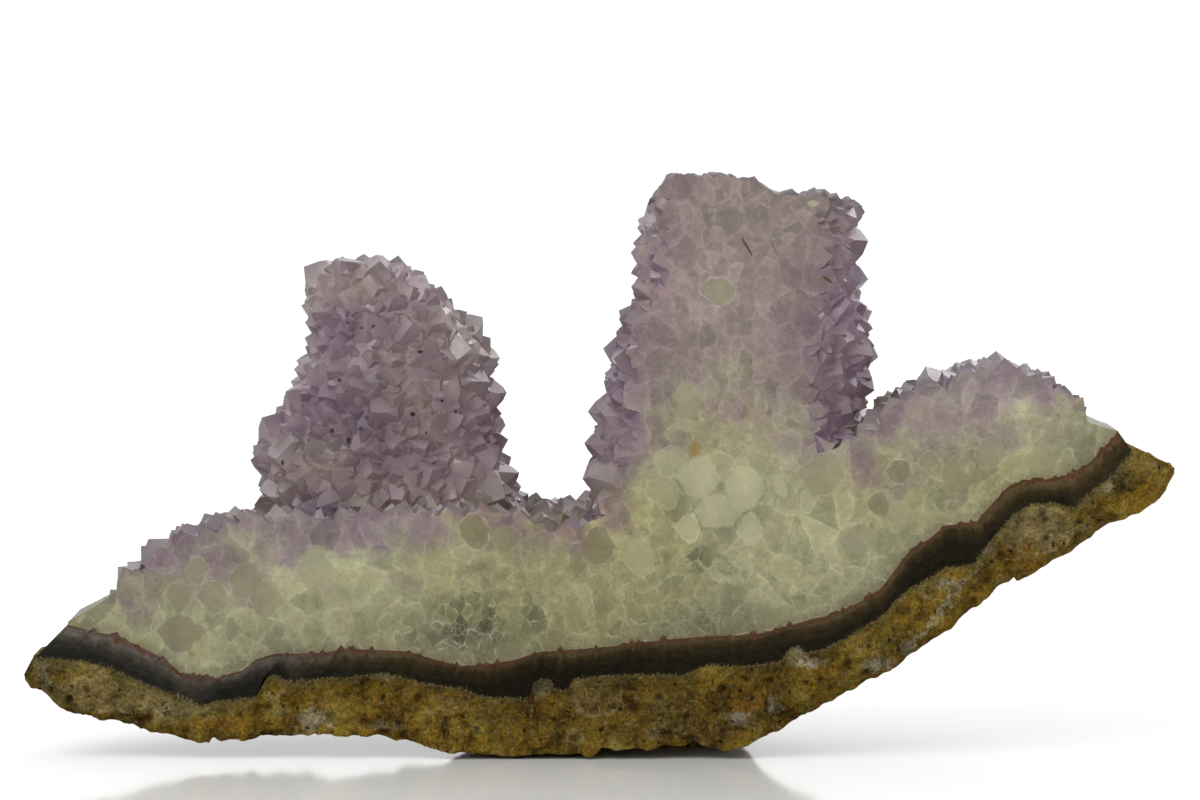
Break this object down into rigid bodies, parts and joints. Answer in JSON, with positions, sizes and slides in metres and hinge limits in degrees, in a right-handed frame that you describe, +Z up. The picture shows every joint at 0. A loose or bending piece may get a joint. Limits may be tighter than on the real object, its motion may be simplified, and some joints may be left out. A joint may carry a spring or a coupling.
{
  "type": "amethyst stalactite specimen",
  "caption": "Sawn and polished piece of geode wall: rough basalt rind, dark agate band and pale quartz that rises into amethyst-covered stalactites.",
  "frame": {"origin": "the middle of the specimen's footprint in x and y, at the height of the flat foot it stands on", "axes": "+X to the right along the polished face, +Y from the polished face back into the stone, +Z up"},
  "size_m": [0.2308, 0.0558, 0.1181],
  "materials": {
    "basalt": "rough weathered basalt, mottled ochre and olive brown with dark pores",
    "agate": "polished dark olive-brown chalcedony with a thin red-brown line on top",
    "amethyst": "see-through glossy quartz, greenish cream at the bottom and mauve to purple above"
  },
  "bodies": {
    "root": {"basalt_matrix": "basalt", "agate_band": "agate", "amethyst_druse": "amethyst"}
  },
  "joints": []
}
